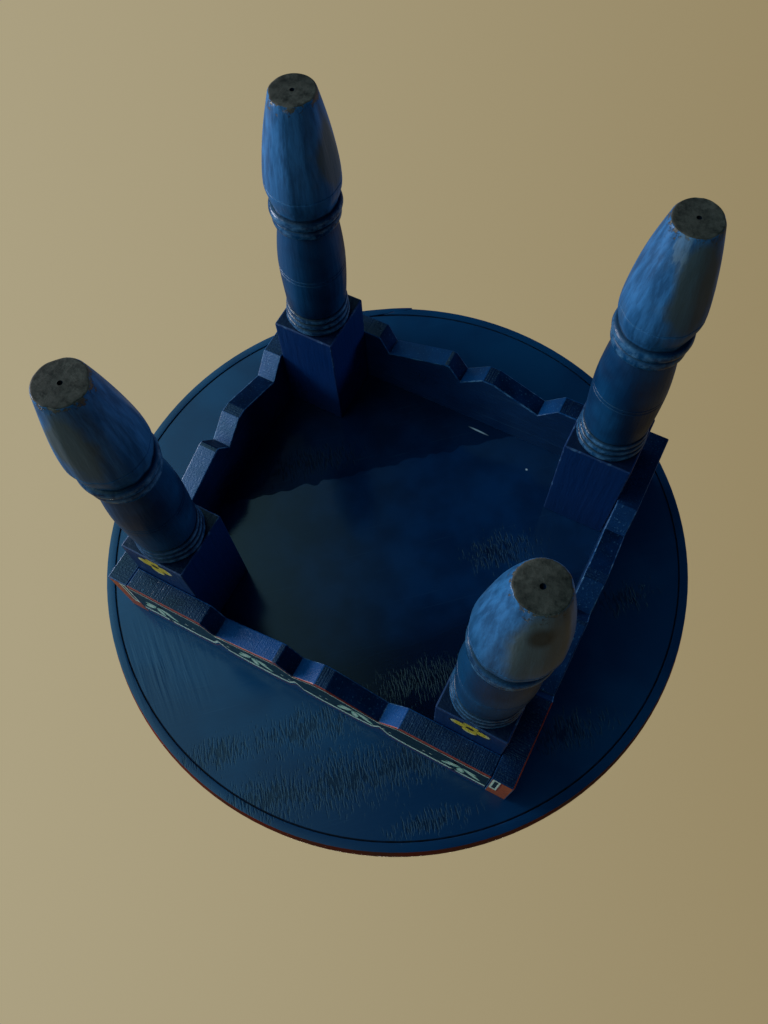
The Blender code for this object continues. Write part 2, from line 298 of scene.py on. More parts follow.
# The upper face's rings, as shares of the top's radius
RING_SPRAYS = 14
RING_RADIUS = 0.205
SPRAY_FOOT = 0.033
FIELD_INNER = 0.258
FIELD_OUTER = 0.700
TOP_RINGS = (
    (0, TEAL), (0.21, CREAM), (0.219, BRICK_RED), (0.25, CREAM), (FIELD_INNER, PANEL_BLUE),
    (FIELD_OUTER, CREAM), (0.709, BRICK_RED), (0.735, CREAM), (0.744, TEAL), (0.905, CREAM),
    (0.914, BRICK_RED), (0.945, PANEL_BLUE),
)

# Heights between which the legs' beads and grooves lie, where the peg's worn paint ends, and how wide
# the painted shade in each groove is
BANDS_LOW = 0.080
BANDS_HIGH = 0.216
PEG_TOP = 0.084
PEG_BLEND = 0.001
GROOVE_SHADE_WIDTH = 0.0014
LEG_SHEEN = 0.27

# Scale of the rings in the feet's end grain, drawn wider than growth rings are so that they show
FOOT_RINGS = 10

# Studio: the side the window is on, and each lamp's place, size, power, colour and whether gloss mirrors it
WINDOW_SIDE = (0.884, -0.468, 0)
LAMPS_AIM = Vector((0, 0, 0.25))
LAMPS = {
    "window": ((1.21, -0.27, -0.06), 0.5, 15, "#f2f5ff", True),
    "back_wall": ((0.92, 0.62, -0.95), 0.8, 1.0, "#e8f4ff", False),
    "far_side": ((-0.54, 1.07, 0.21), 0.4, 5.2, "#c8e2ff", False),
    "overhead": ((0.2, 0.1, 2.3), 1.2, 40, "#fff6e8", True),
}
FLOOR_RADIUS = 2.0
FLOOR_FADE = (0.40, 1.05)
BOUNCE_LOSS = 0.68
CAMERA_LENS = 29.63
CAMERA_SENSOR = 36
CAMERA_PLACE = (-0.13837, -0.23708, -0.35028)
CAMERA_TURN = (-155.725, -1.823, 152.338)


# Materials

# A Mix node of two colours: its input 0 is a share, 6 the ground and 7 the paint laid over it
COLOUR_MIX = {"out": 2, "data_type": "RGBA"}
USUAL_SHEEN = 0.5


def new_finish(name):
    """A material; returns it, the function that adds to its nodes, and its Object coordinates."""
    finish = bpy.data.materials.new(name)
    finish.use_nodes = True
    add = partial(add_node, finish.node_tree)
    return finish, add, add("TexCoord", out="Object")


def add_node(tree, kind, inputs=(), out=0, stops=(), sharp=False, bends=(), **settings):
    """Adds a node, sets or links its inputs, fills its ramp or curve, and returns one of its outputs."""
    node = tree.nodes.new("ShaderNode" + kind)
    for key, value in settings.items():
        setattr(node, key, value)
    pairs = inputs.items() if isinstance(inputs, dict) else enumerate(inputs)
    for place, value in pairs:
        if isinstance(value, bpy.types.NodeSocket):
            tree.links.new(value, node.inputs[place])
        elif value is not None:
            node.inputs[place].default_value = value
    if sharp:
        node.color_ramp.interpolation = "CONSTANT"
    for count, (place, colour) in enumerate(stops):
        band = node.color_ramp.elements[count] if count < 2 else node.color_ramp.elements.new(place)
        band.position = place
        band.color = colour
    for count, (place, value) in enumerate(bends):
        points = node.mapping.curves[0].points
        point = points[count] if count < 2 else points.new(place, value)
        point.location = (place, value)
        point.handle_type = "VECTOR"
    if bends:
        node.mapping.update()
    return node.outputs[out]


def lay_finish(finish, colour, roughness, height, depth, sheen=USUAL_SHEEN):
    """Joins colour, gloss and relief to a finish's shader; the relief stands depth metres high."""
    tree = finish.node_tree
    shader = tree.nodes["Principled BSDF"]
    tree.links.new(colour, shader.inputs["Base Color"])
    tree.links.new(roughness, shader.inputs["Roughness"])
    shader.inputs["Specular IOR Level"].default_value = sheen
    relief = add_node(tree, "Bump", {"Strength": 1, "Distance": depth, "Height": height})
    tree.links.new(relief, shader.inputs["Normal"])
    return finish


def lay_over(add, ground, paint, pattern, low, high, most=1):
    """Lays a paint over a ground where a pattern goes from low to high, and at most that thickly."""
    share = add("MapRange", [pattern, low, high, 0, most])
    return add("Mix", {0: share, 6: ground, 7: paint}, **COLOUR_MIX)


def streaked(add, place, turn, size, detail, roughness=0.5):
    """Noise drawn out into streaks of that size, turned about the upright."""
    drawn = {"Vector": place, "Rotation": (0, 0, turn), "Scale": size}
    drawn = add("Mapping", drawn, vector_type="TEXTURE")
    return add("TexNoise", {"Vector": drawn, "Scale": 1, "Detail": detail, "Roughness": roughness})


def oval_mark(add, place, middle, size, turn=0):
    """A soft oval with its half sizes in metres: 1 in its middle, 0 from its edge outwards."""
    inside = {"Vector": place, "Location": middle, "Rotation": (0, 0, turn), "Scale": size}
    inside = add("Mapping", inside, vector_type="TEXTURE")
    return add("TexGradient", [inside], out=1, gradient_type="SPHERICAL")


def oval_marks(add, place, marks):
    """Several soft ovals together; where two meet the stronger one shows."""
    together = None
    for mark in marks:
        oval = oval_mark(add, place, *mark)
        together = oval if together is None else add("Math", [together, oval], operation="MAXIMUM")
    return together


def brushed_ground(add, place, light, dark, streak, turn=0):
    """One paint in two close tones: soft clouds, and brush streaks drawn out along the grain."""
    clouds = add("TexNoise", {"Vector": place, "Scale": per(40), "Detail": 3, "Roughness": 0.5})
    streaks = streaked(add, place, turn, streak, 4, 0.6)
    tone = add("MapRange", [clouds, 0.34, 0.66, 0, 1], interpolation_type="SMOOTHSTEP")
    colour = add("Mix", {0: tone, 6: dark, 7: light}, **COLOUR_MIX)
    return colour, clouds, streaks


def torn_grain(add, place):
    """Grain torn up by the plane: short dashes across the board, in patches with ragged borders."""
    marks = []
    for x, y, long, wide in TORN_PATCHES:
        marks.append(((x, y, PANEL_BOTTOM), (long * TORN_FADE_LONG, wide * TORN_FADE_WIDE, 1), PATCH_TURN))
    torn = oval_marks(add, place, marks)
    ragged = add("TexNoise", {"Vector": place, "Scale": per(10), "Detail": 3})
    torn = add("Math", [ragged, 0.6, torn], operation="MULTIPLY_ADD")
    dashes = streaked(add, place, GRAIN_TURN, TORN_DASH, 2)
    gouges = add("Math", [torn, 0.5, dashes], operation="MULTIPLY_ADD")
    return add("MapRange", [gouges, 0.95, 1.15, 0, 1])


def scraped_lines(add, place):
    """Long scratches where the panel was scraped, fading out round one place."""
    scraped = oval_mark(add, place, SCRAPED_PLACE, SCRAPED_SIZE)
    lines = streaked(add, place, SCRAPED_TURN, SCRAPED_LINE, 3)
    return add("Math", [scraped, lines], operation="MULTIPLY")


def past_aprons(add, place):
    """1 on the part of the panel that stands out past the aprons, 0 in the well between them."""
    x = add("SeparateXYZ", [place])
    y = add("SeparateXYZ", [place], out=1)
    x = add("Math", [x], operation="ABSOLUTE")
    y = add("Math", [y, FRAME_SETBACK], operation="SUBTRACT")
    y = add("Math", [y], operation="ABSOLUTE")
    x = add("MapRange", [x, SIDE_APRON_X - OVERHANG_BLEND, SIDE_APRON_X + OVERHANG_BLEND, 0, 1])
    y = add("MapRange", [y, END_APRON_Y - OVERHANG_BLEND, END_APRON_Y + OVERHANG_BLEND, 0, 1])
    return add("Math", [x, y], operation="MAXIMUM")


def panel_paint(name, light, shade, sheen):
    """Blue oil paint brushed on a planed panel: streaks, torn grain, painted shade in the well and on a
    corner.
    """
    finish, add, place = new_finish(name)
    colour, _, streaks = brushed_ground(add, place, light, shade, PANEL_STREAK, PATCH_TURN)
    gouges = torn_grain(add, place)
    scraped = scraped_lines(add, place)
    overhang = past_aprons(add, place)
    # A straight-edged painted shadow darkens one corner of the well.
    corner = add("VectorMath", [place, SHADOW_WAY], out=1, operation="DOT_PRODUCT")
    colour = lay_over(add, colour, SHADOW_BLUE, corner, SHADOW_LINE, SHADOW_LINE - SHADOW_BLEND)
    swathes = add("TexNoise", {"Vector": place, "Scale": per(85), "Detail": 3})
    swathe = add("MapRange", [swathes, 0.38, 0.62, 0, 1], interpolation_type="SMOOTHSTEP")
    outside = add("Mix", {0: swathe, 6: OVERHANG_BLUE, 7: OVERHANG_SHADE}, **COLOUR_MIX)
    # The panel past the aprons takes a lighter blue than the well between them: painted shade in the well.
    colour = add("Mix", {0: overhang, 6: colour, 7: outside}, **COLOUR_MIX)
    # The gouges of the torn grain are darkened: painted shade in these hollows.
    colour = lay_over(add, colour, RECESS_SHADE, gouges, 0, 1, 0.55)
    colour = lay_over(add, colour, RUBBED_AND_HIGHLIGHT_BLUE, streaks, 0.62, 0.80, 0.06)
    for x, y, turn, long, wide in SCUFFS:
        scuff = oval_mark(add, place, (x, y, PANEL_BOTTOM), (long, wide, 1), turn)
        colour = lay_over(add, colour, SCUFF_WHITE, scuff, 0.1, 0.6, 0.8)
    gloss = add("MapRange", [swathes, 0.36, 0.64, 0.09, 0.17])
    height = add("MapRange", [streaks, 0.2, 0.8, 0, 0.07])
    height = add("Math", [gouges, -0.22, height], operation="MULTIPLY_ADD")
    height = add("Math", [scraped, -0.9, height], operation="MULTIPLY_ADD")
    return lay_finish(finish, colour, gloss, height, 0.0005, sheen)


def groove_shade_paint():
    """Near black and dull in the panel's groove and the lathe holes: painted shade, so both read as dark."""
    finish, add, place = new_finish("groove_shade_paint")
    crumbs = add("TexNoise", {"Vector": place, "Scale": per(6), "Detail": 4})
    colour = lay_over(add, RECESS_SHADE, PANEL_SHADE, crumbs, 0.4, 0.7, 0.5)
    dull = add("MapRange", [crumbs, 0.3, 0.7, 0.6, 0.9])
    return lay_finish(finish, colour, dull, crumbs, 0.0003, sheen=0.1)


def board_paint():
    """Blue oil paint on the sides of the boards, thin over the grain."""
    finish, add, place = new_finish("board_blue_oil_paint")
    colour, clouds, streaks = brushed_ground(add, place, BOARD_SIDE, BOARD_SHADE, (0.060, 0.060, 0.0018))
    colour = lay_over(add, colour, RUBBED_AND_HIGHLIGHT_BLUE, streaks, 0.60, 0.76, 0.2)
    gloss = add("MapRange", [clouds, 0.3, 0.7, 0.26, 0.42])
    return lay_finish(finish, colour, gloss, streaks, 0.0004)


def sawn_paint(name, light, shade, sheen=0.10, rub=0.35, smooth=0.36):
    """Paint on the sawn lower edges: the saw's marks across the board, and flecks rubbed through.

    Light and shade are its two tones, rub is how pale the flecks are, and smooth its least roughness.
    """
    finish, add, place = new_finish(name)
    board = add("UVMap", uv_map="board")
    along = add("SeparateXYZ", [board])
    along = add("Math", [along, per(1.1)], operation="MULTIPLY")
    kerfs = add("TexNoise", {"W": along, "Scale": 1, "Detail": 2}, noise_dimensions="1D")
    clouds = add("TexNoise", {"Vector": place, "Scale": per(18), "Detail": 5})
    flecks = add("TexNoise", {"Vector": place, "Scale": per(1.6), "Detail": 3})
    colour = lay_over(add, shade, light, clouds, 0.35, 0.65)
    colour = lay_over(add, colour, RUBBED_AND_HIGHLIGHT_BLUE, flecks, 0.62, 0.72, rub)
    gloss = add("MapRange", [clouds, 0.3, 0.7, smooth, smooth + 0.16])
    height = add("Math", [flecks, 1.6, kerfs], operation="MULTIPLY_ADD")
    return lay_finish(finish, colour, gloss, height, 0.0002, sheen)


def worn_edge(name, ground, rub):
    """Edges where the paint is rubbed thin: pale blue where the wear passes rub, and specks of bare wood."""
    finish, add, place = new_finish(name)
    wear = add("TexNoise", {"Vector": place, "Scale": per(7), "Detail": 6, "Roughness": 0.7})
    colour = lay_over(add, ground, RUBBED_AND_HIGHLIGHT_BLUE, wear, rub, rub + 0.22, 0.8)
    colour = lay_over(add, colour, BARE_WOOD, wear, rub + 0.18, rub + 0.26, 0.8)
    dull = add("MapRange", [wear, 0.3, 0.7, 0.35, 0.65])
    return lay_finish(finish, colour, dull, wear, 0.0003)


def leaf_spray(add, across, up):
    """A painted spray, from its middle outwards: leaves opening beside a middle one, and two dots."""
    spot = add("CombineXYZ", [across, up, 0])
    leaves = [((x, y, 0), (wide, long, 1), turn) for x, y, turn, wide, long in SPRAY_LEAVES]
    dots = [((x, y, 0), (DOT_RADIUS, DOT_RADIUS, 1)) for x, y in SPRAY_DOTS]
    return oval_marks(add, spot, leaves), oval_marks(add, spot, dots)


def paint_spray(add, colour, across, up):
    """Lays the spray over a ground: dark outline, pale green leaf, lighter along its middle, white dots."""
    leaves, dots = leaf_spray(add, across, up)
    colour = lay_over(add, colour, UMBER, leaves, 0.0, 0.06, 0.6)
    colour = lay_over(add, colour, LEAF_GREEN, leaves, 0.14, 0.24)
    colour = lay_over(add, colour, CREAM, leaves, 0.40, 0.70)
    return lay_over(add, colour, CREAM, dots, 0.10, 0.35)


def paint_flower(add, colour, across, up):
    """Lays a four-petalled yellow flower over a ground, with pale tips and a dark heart."""
    side = add("Math", [across], operation="ABSOLUTE")
    rise = add("Math", [up], operation="ABSOLUTE")
    spot = add("CombineXYZ", [side, rise, 0])
    petals = oval_marks(add, spot, [((x, y, 0), (wide, tall, 1)) for x, y, wide, tall in PETALS])
    colour = lay_over(add, colour, UMBER, petals, 0.0, 0.05, 0.8)
    body = add("MapRange", [petals, 0.14, 0.22, 0, 1])
    reach = add("VectorMath", [spot], out=1, operation="LENGTH")
    petal_paint = lay_over(add, YELLOW, CREAM, reach, 0.0110, 0.0155)
    colour = add("Mix", {0: body, 6: colour, 7: petal_paint}, **COLOUR_MIX)
    return lay_over(add, colour, UMBER, reach, 0.0036, 0.0030)


def rubbed_through(add, colour, place, size, low, high, under):
    """Old paint chipped and rubbed in specks of about that size, showing what is under it."""
    wear = add("TexNoise", {"Vector": place, "Scale": per(size), "Detail": 6, "Roughness": 0.7})
    return lay_over(add, colour, under, wear, low, high, 0.85)


def hand_drawn(add, place, lines, size, sway):
    """The places that lines are ruled by, moved about a little as an unsteady hand moves a brush."""
    tremble = add("TexNoise", {"Vector": place, "Scale": per(size), "Detail": 2}, out=1)
    tremble = add("VectorMath", [tremble, (-0.5, -0.5, -0.5)], operation="ADD")
    return add("VectorMath", [tremble, (sway, sway, 0), lines], operation="MULTIPLY_ADD")


def apron_face_paint():
    """The aprons' painted faces: red saw edge, a teal band of sprays, a cream line, a blue margin."""
    finish, add, place = new_finish("apron_painted_face")
    board = add("UVMap", uv_map="board")
    drawn = hand_drawn(add, place, board, 9, 0.0016)
    along = add("SeparateXYZ", [drawn])
    up = add("SeparateXYZ", [drawn], out=1)
    share = add("MapRange", [along, -HALF_FRAME, HALF_FRAME, 0, 1])
    turns = [(0.5 + cut / APRON_LENGTH, lift / RULED_HEIGHT) for cut, lift in SAW_CUTS]
    zigzag = add("FloatCurve", {"Value": share}, bends=[(0, 0), (1, 0)] + turns)
    above = add("Math", [zigzag, -RULED_HEIGHT * ZIGZAG_SHARE, up], operation="MULTIPLY_ADD")
    margin = add("MapRange", [above, 0, RULED_HEIGHT, 0, 1])
    lines = ((0, BRICK_RED), (0.16, OXIDE_RED), (0.22, CREAM), (0.30, TEAL))
    colour = add("ValToRGB", [margin], stops=lines, sharp=True)
    sway = add("Math", [along, SPRAY_STEP], operation="PINGPONG")
    across = add("Math", [SPRAY_STEP, sway], operation="SUBTRACT")
    colour = paint_spray(add, colour, across, up)
    brace = [(0, 1), (1, 1)]
    for cut, lift in SAW_CUTS:
        if lift:
            brace += [(0.5 + cut / APRON_LENGTH + shift, rise) for shift, rise in BRACE]
    brace = add("FloatCurve", {"Value": share}, bends=brace)
    over = add("Math", [brace, -CUSP_DROP, up], operation="MULTIPLY_ADD")
    head_line = CARTOUCHE_TOP - CUSP_DROP
    over = add("MapRange", [over, head_line, head_line + RULED_HEIGHT, 0, 1])
    lines = ((0, CREAM), (0.26, BOARD_BLUE), (0.50, BRICK_RED), (0.57, BOARD_BLUE))
    head = add("ValToRGB", [over], stops=lines, sharp=True)
    beyond = add("Math", [over, 0.001], operation="GREATER_THAN")
    colour = add("Mix", {0: beyond, 6: colour, 7: head}, **COLOUR_MIX)
    colour = rubbed_through(add, colour, place, 6, 0.60, 0.68, BOARD_SHADE)
    skin = add("TexNoise", {"Vector": place, "Scale": per(3), "Detail": 4})
    gloss = add("MapRange", [skin, 0.3, 0.7, 0.30, 0.46])
    return lay_finish(finish, colour, gloss, skin, 0.0003)


def board_end_paint():
    """Ends of the side boards: orange red outside, and inside a tall dark box drawn in cream."""
    finish, add, place = new_finish("board_end_orange_paint")
    side = add("SeparateXYZ", [place])
    side = add("Math", [side], operation="ABSOLUTE")
    up = add("SeparateXYZ", [place], out=2)
    inner = SIDE_APRON_X - APRON_THICKNESS / 2
    width = add("MapRange", [side, inner, inner + APRON_THICKNESS, 0, 1])
    columns = ((0, BRICK_RED), (0.08, CREAM), (0.17, TEAL), (0.34, CREAM), (0.42, BRICK_RED), (0.50, ORANGE))
    colour = add("ValToRGB", [width], stops=columns, sharp=True)
    height = add("MapRange", [up, APRON_BOTTOM, APRON_BOTTOM + APRON_HEIGHT, 0, 1])
    rows = ((0, CREAM), (0.07, TEAL), (0.58, CREAM))
    ends = add("ValToRGB", [height], stops=rows, sharp=True)
    inside = add("MapRange", [width, 0.17, 0.18, 0, 1])
    beyond = add("MapRange", [width, 0.33, 0.34, 1, 0])
    inside = add("Math", [inside, beyond], operation="MULTIPLY")
    colour = add("Mix", {0: inside, 6: colour, 7: ends}, **COLOUR_MIX)
    colour = lay_over(add, colour, ORANGE, height, 0.66, 0.67)
    colour = rubbed_through(add, colour, place, 5, 0.56, 0.66, OXIDE_RED)
    skin = add("TexNoise", {"Vector": place, "Scale": per(2.5), "Detail": 4})
    gloss = add("MapRange", [skin, 0.3, 0.7, 0.38, 0.55])
    return lay_finish(finish, colour, gloss, skin, 0.0004)


def hoop_red_paint():
    """Brick-red paint on the hoop's outer face, brushed along it and rubbed dark in places."""
    finish, add, place = new_finish("hoop_red_paint")
    colour, clouds, streaks = brushed_ground(add, place, HOOP_RED, HOOP_SHADE, (0.05, 0.05, 0.0015))
    colour = rubbed_through(add, colour, place, 10, 0.60, 0.70, UMBER)
    gloss = add("MapRange", [clouds, 0.3, 0.7, 0.5, 0.7])
    return lay_finish(finish, colour, gloss, streaks, 0.0004, sheen=0.1)


def top_face_paint():
    """The upper face: blue, with ruled red and cream rings, a teal ring of sprays, and one flower."""
    finish, add, place = new_finish("top_painted_face")
    drawn = hand_drawn(add, place, place, 12, 0.003)
    flat = add("VectorMath", [drawn, (1, 1, 0)], operation="MULTIPLY")
    reach = add("VectorMath", [flat], out=1, operation="LENGTH")
    x = add("SeparateXYZ", [flat])
    y = add("SeparateXYZ", [flat], out=1)
    ground, clouds, streaks = brushed_ground(add, place, PANEL_BLUE, PANEL_SHADE, PANEL_STREAK, GRAIN_TURN)
    share = add("MapRange", [reach, 0, TOP_RADIUS, 0, 1])
    rings = add("ValToRGB", [share], stops=TOP_RINGS, sharp=True)
    field_low = add("MapRange", [share, FIELD_INNER, FIELD_INNER + 0.002, 0, 1])
    field_high = add("MapRange", [share, FIELD_OUTER - 0.002, FIELD_OUTER, 1, 0])
    field = add("Math", [field_low, field_high], operation="MULTIPLY")
    colour = add("Mix", {0: field, 6: rings, 7: ground}, **COLOUR_MIX)
    turn = add("Math", [y, x], operation="ARCTAN2")
    arc = add("Math", [turn, RING_RADIUS], operation="MULTIPLY")
    across = add("Math", [arc, RING_RADIUS * math.pi / RING_SPRAYS], operation="PINGPONG")
    up = add("Math", [reach, RING_RADIUS - SPRAY_FOOT], operation="SUBTRACT")
    colour = paint_spray(add, colour, across, up)
    wide = add("Math", [x, FLOWER_ON_TOP], operation="MULTIPLY")
    tall = add("Math", [y, FLOWER_ON_TOP], operation="MULTIPLY")
    colour = paint_flower(add, colour, wide, tall)
    colour = rubbed_through(add, colour, place, 14, 0.64, 0.72, PANEL_SHADE)
    gloss = add("MapRange", [clouds, 0.3, 0.7, 0.26, 0.40])
    return lay_finish(finish, colour, gloss, streaks, 0.0003)


def peg_ground(add, place, height, clouds, streaks, patches):
    """Worn pale blue pegs: grey of dust and of a painted floor reflection, one stain, and a deeper blue
    above, partly painted shade.
    """
    peg = lay_over(add, PEG_SHADE, PEG_BLUE, streaks, 0.36, 0.62)
    dusty_reflection = oval_marks(add, place, [((x, y, z), (wide, wide, tall)) for x, y, z, wide, tall in PEG_DUST_AND_REFLECTION])
    dusty_reflection = add("Math", [dusty_reflection, patches], operation="ADD")
    # Grey laid over the pegs: partly dust, partly a painted reflection of the pale floor.
    peg = lay_over(add, peg, DUST_AND_REFLECTION_GREY, dusty_reflection, 0.62, 0.92, 0.88)
    stain = oval_mark(add, place, STAINED_PEG, STAIN_SIZE)
    stain = add("Math", [clouds, 0.5, stain], operation="MULTIPLY_ADD")
    peg = lay_over(add, peg, GRIME, stain, 0.40, 0.80, 0.8)
    # Darker towards the collar, partly as painted shade under the belly.
    return lay_over(add, peg, VASE_BLUE, height, 0.040, PEG_TOP, 0.5)


def turned_bands(add, height, points):
    """Bands round the turning, from (height, strength) points, fading from each point to the next."""
    share = add("MapRange", [height, BANDS_LOW, BANDS_HIGH, 0, 1])
    stops = [(0, BLACK), (1, BLACK)]
    for place, strength in points:
        stops.append(((place - BANDS_LOW) / (BANDS_HIGH - BANDS_LOW), (strength, strength, strength, 1)))
    return add("ValToRGB", [share], stops=stops)


def leg_ground(add, place):
    """The legs' paint: worn pegs, deep blue above, crests rubbed pale and painted as highlights, painted
    shade in grooves, chipped feet.
    """
    height = add("SeparateXYZ", [place], out=2)
    deep, clouds, streaks = brushed_ground(add, place, VASE_BLUE, VASE_SHADE, (0.004, 0.004, 0.050))
    patches = add("TexNoise", {"Vector": place, "Scale": per(30), "Detail": 4})
    peg = peg_ground(add, place, height, clouds, streaks, patches)
    deep = lay_over(add, deep, BLOCK_BLUE, height, SHOULDER - 0.0004, SHOULDER)
    colour = lay_over(add, deep, peg, height, PEG_TOP + PEG_BLEND, PEG_TOP)
    specks = add("TexNoise", {"Vector": place, "Scale": per(5), "Detail": 6, "Roughness": 0.7})
    crests = [(low + (high - low) * part, strength) for low, high, *_ in BEADS
              for part, strength in ((0.06, 0), (0.30, 1), (0.70, 1), (0.94, 0))]
    crest = turned_bands(add, height, crests)
    # Paler on the beads' crests: partly rubbed wear, partly a painted highlight.
    rub = add("MapRange", [specks, 0.40, 0.66, 0, 0.62])
    rub = add("Math", [rub, crest], operation="MULTIPLY")
    colour = add("Mix", {0: rub, 6: colour, 7: RUBBED_AND_HIGHLIGHT_BLUE}, **COLOUR_MIX)
    # Near black along each groove between the beads: painted shade.
    shaded_grooves = [(groove + shift, strength) for groove in GROOVES
             for shift, strength in ((-GROOVE_SHADE_WIDTH, 0), (0, 1), (GROOVE_SHADE_WIDTH, 0))]
    groove_shade_share = turned_bands(add, height, shaded_grooves)
    groove_shade_share = add("Math", [groove_shade_share, 0.85], operation="MULTIPLY")
    colour = add("Mix", {0: groove_shade_share, 6: colour, 7: RECESS_SHADE}, **COLOUR_MIX)
    near_foot = add("MapRange", [height, 0, 0.014, 0.26, 0])
    chip = add("Math", [specks, near_foot], operation="ADD")
    chip = add("MapRange", [chip, 0.74, 0.78, 0, 1])
    colour = add("Mix", {0: chip, 6: colour, 7: END_GRAIN}, **COLOUR_MIX)
    flake = oval_mark(add, place, CHIPPED_FOOT, CHIPPED_SIZE)
    flake = add("Math", [flake, 0.6, streaks], operation="MULTIPLY_ADD")
    colour = lay_over(add, colour, CHIP_GREY, flake, 0.80, 0.90, 0.45)
    gloss = add("MapRange", [patches, 0.35, 0.68, 0.28, 0.46])
    gloss = add("Math", [crest, -0.22, gloss], operation="MULTIPLY_ADD")
    relief = add("Math", [chip, -0.6, streaks], operation="MULTIPLY_ADD")
    return colour, gloss, relief


def leg_paint():
    """Oil paint on turned wood, worn pale where hands and floors have rubbed it."""
    finish, add, place = new_finish("leg_worn_oil_paint")
    colour, gloss, relief = leg_ground(add, place)
    return lay_finish(finish, colour, gloss, relief, 0.0005, LEG_SHEEN)


def flower_paint():
    """The outer faces of the blocks, the legs' paint with a yellow flower on it."""
    finish, add, place = new_finish("block_flower_paint")
    colour, gloss, relief = leg_ground(add, place)
    side = add("SeparateXYZ", [place])
    side = add("Math", [side], operation="ABSOLUTE")
    across = add("Math", [side, LEG_X], operation="SUBTRACT")
    up = add("SeparateXYZ", [place], out=2)
    up = add("Math", [up, FLOWER_HEIGHT], operation="SUBTRACT")
    colour = paint_flower(add, colour, across, up)
    colour = rubbed_through(add, colour, place, 4, 0.62, 0.70, VASE_SHADE)
    return lay_finish(finish, colour, gloss, relief, 0.0005, LEG_SHEEN)


def foot_wood():
    """Bare end grain of the feet: grey brown, soiled, with faint growth rings."""
    finish, add, place = new_finish("foot_end_grain")
    rings = {"Vector": place, "Scale": FOOT_RINGS, "Distortion": 2.5, "Detail": 2, "Detail Scale": 2}
    rings = add("TexWave", rings, out=1, wave_type="RINGS", rings_direction="Z")
    stains = add("TexNoise", {"Vector": place, "Scale": per(7), "Detail": 6, "Roughness": 0.7})
    colour = lay_over(add, END_GRAIN, GRIME, rings, 0, 1, 0.35)
    colour = lay_over(add, colour, GRIME, stains, 0.42, 0.66, 0.85)
    dull = add("MapRange", [stains, 0.3, 0.7, 0.7, 0.9])
    height = add("Math", [rings, 0.4, stains], operation="MULTIPLY_ADD")
    return lay_finish(finish, colour, dull, height, 0.0005, sheen=0.2)


def nail_paint(name, colour):
    """Nail heads painted over with the wood round them, rubbed to dark iron on their crowns."""
    finish, add, place = new_finish(name)
    skin = add("TexNoise", {"Vector": place, "Scale": per(1.5), "Detail": 4})
    mixed = lay_over(add, colour, GRIME, skin, 0.48, 0.62, 0.8)
    gloss = add("MapRange", [skin, 0.3, 0.7, 0.3, 0.55])
    return lay_finish(finish, mixed, gloss, skin, 0.0002)


# Modelling

def clear_selection():
    bpy.ops.object.select_all(action="DESELECT")


def edit(select="DESELECT"):
    bpy.ops.object.mode_set(mode="EDIT")
    bpy.ops.mesh.select_all(action=select)


def leave_edit():
    bpy.ops.object.mode_set(mode="OBJECT")


def apply_place():
    bpy.ops.object.transform_apply(location=True, rotation=True, scale=True)


def give_finishes(finishes):
    for finish in finishes:
        bpy.context.object.data.materials.append(finish)


def face_outwards():
    bpy.ops.mesh.select_all(action="SELECT")
    bpy.ops.mesh.normals_make_consistent(inside=False)


def choose_points(test):
    """In edit mode, selects the points of the piece whose place passes the test, and nothing else."""
    bpy.ops.mesh.select_all(action="DESELECT")
    bpy.ops.mesh.select_mode(type="VERT")
    shape = bmesh.from_edit_mesh(bpy.context.object.data)
    for point in shape.verts:
        point.select = test(point.co)
    shape.select_flush(True)
    bmesh.update_edit_mesh(bpy.context.object.data)


def choose_faces(test):
    """In edit mode, selects the faces whose middle and normal pass the test, and nothing else."""
    bpy.ops.mesh.select_all(action="DESELECT")
    bpy.ops.mesh.select_mode(type="FACE")
    shape = bmesh.from_edit_mesh(bpy.context.object.data)
    for face in shape.faces:
        face.select = test(face.calc_center_median(), face.normal)
    bmesh.update_edit_mesh(bpy.context.object.data)


def paint_faces(slot, test):
    """In edit mode, gives the faces that pass the test the finish in that slot."""
    choose_faces(test)
    bpy.context.object.active_material_index = slot
    bpy.ops.object.material_slot_assign()


def ease_edges(offset, slot):
    """Bevels every sharp edge of the piece; the eased strip takes the finish in that slot."""
    bpy.ops.mesh.select_all(action="DESELECT")
    bpy.ops.mesh.select_mode(type="EDGE")
    bpy.ops.mesh.edges_select_sharp(sharpness=SHARP_FROM)
    bpy.ops.mesh.bevel(offset=offset, segments=2, material=slot)


def finish_piece(name, node):
    """Names the piece and puts it in the place of its node."""
    piece = bpy.context.object
    piece.name = name
    piece.data.name = name
    bpy.ops.object.shade_smooth_by_angle(angle=SMOOTH_UNDER)
    flats = piece.modifiers.new("flat_faces", "WEIGHTED_NORMAL")
    flats.keep_sharp = True
    bpy.ops.object.modifier_apply(modifier=flats.name)
    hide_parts(node)
    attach(piece, "root")
    return piece


# Legs

def bead(low, high, groove, crest, steps):
    """A rounded bead between two grooves, as (height, radius) points going up."""
    points = []
    for step in range(steps + 1):
        turn = math.pi * step / steps
        height = low + (high - low) * (1 - math.cos(turn)) / 2
        points.append((height, groove + (crest - groove) * math.sin(turn)))
    return points


def swelling(low, high, power, steps, widest_first):
    """A curve between two (height, radius) ends, going up; it runs along the axis at its widest end."""
    points = []
    for step in range(1, steps):
        share = step / steps
        rise = share ** power if widest_first else 1 - (1 - share) ** power
        points.append((low[0] + (high[0] - low[0]) * share, low[1] + (high[1] - low[1]) * rise))
    return points


